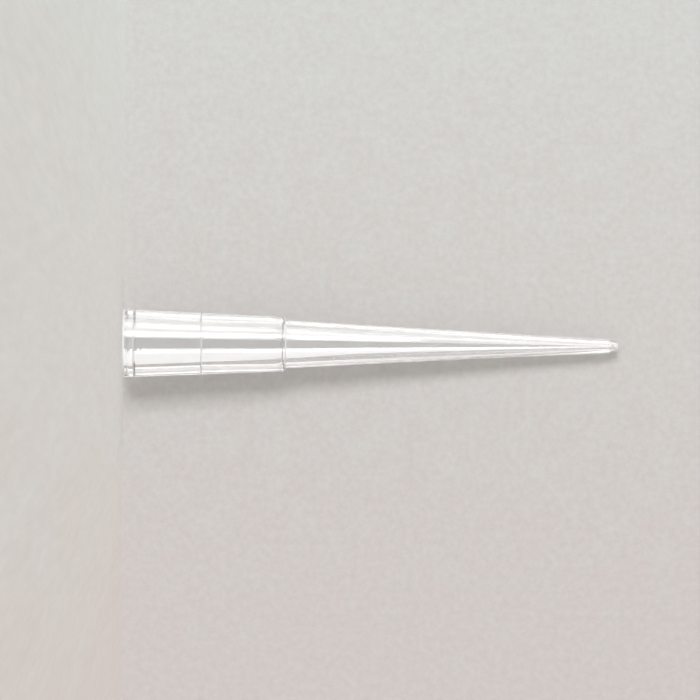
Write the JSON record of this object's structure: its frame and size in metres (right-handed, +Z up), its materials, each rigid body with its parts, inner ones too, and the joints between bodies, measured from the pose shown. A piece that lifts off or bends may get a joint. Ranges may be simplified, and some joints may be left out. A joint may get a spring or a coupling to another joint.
{
  "type": "pipette tip",
  "caption": "Clear tapered plastic tip in one piece: wide socket collar with a shoulder, slender conical shank and a fine orifice.",
  "frame": {"origin": "at the centre of the mouth's rim, on the surface that the tip stands on", "axes": "+Z up the tip's axis, from the mouth to the narrow end; X and Y are alike, because the tip is round"},
  "size_m": [0.007, 0.007, 0.0508],
  "materials": {
    "clear_polypropylene": "clear moulded polypropylene, glossy inside and out"
  },
  "bodies": {
    "root": {"pipette_tip": "clear_polypropylene"}
  },
  "joints": []
}
